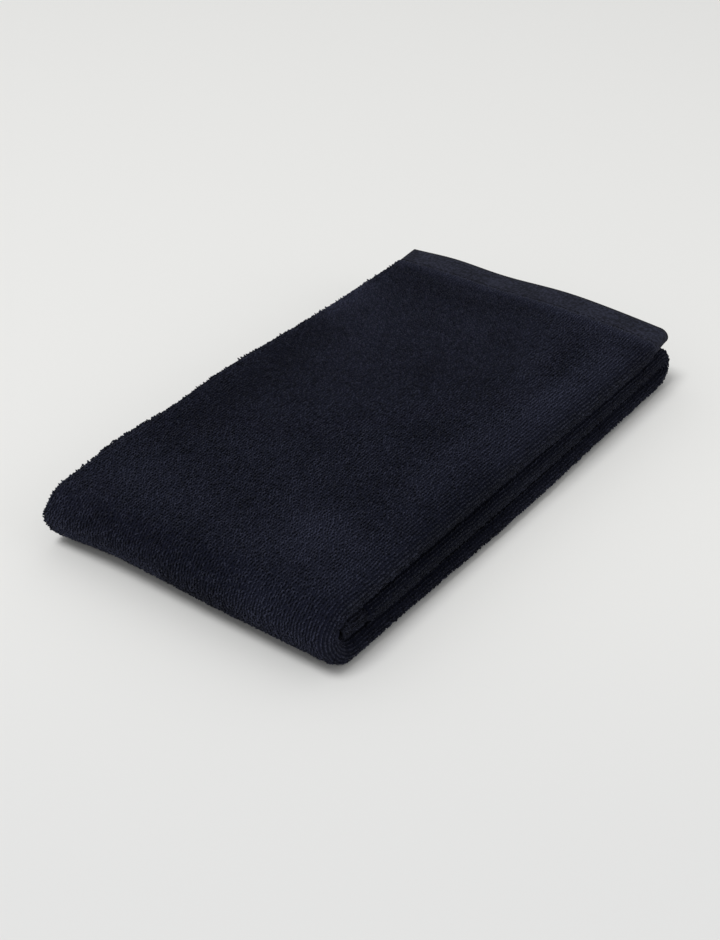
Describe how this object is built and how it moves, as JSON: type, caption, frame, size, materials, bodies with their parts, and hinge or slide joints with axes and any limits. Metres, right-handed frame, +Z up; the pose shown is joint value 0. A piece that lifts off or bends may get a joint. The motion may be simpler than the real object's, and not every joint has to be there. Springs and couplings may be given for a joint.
{
  "type": "hand towel",
  "caption": "Folded terry hand towel, near-black navy, with a flat woven hem across one end. It lies as a neat flat stack, folded in thirds both ways.",
  "frame": {"origin": "on the surface that the towel rests on, under the middle of the folded stack", "axes": "+Z up; +Y along the folded stack, from the near fold to the end where the upper hem lies; +X across it, towards the smooth right-hand folds"},
  "size_m": [0.1748, 0.3102, 0.0371],
  "materials": {
    "navy_terry": "matt cotton terry, loops on both faces",
    "navy_hem": "flat woven cotton band, turned and stitched"
  },
  "bodies": {
    "root": {"towel": "navy_terry"}
  },
  "joints": []
}
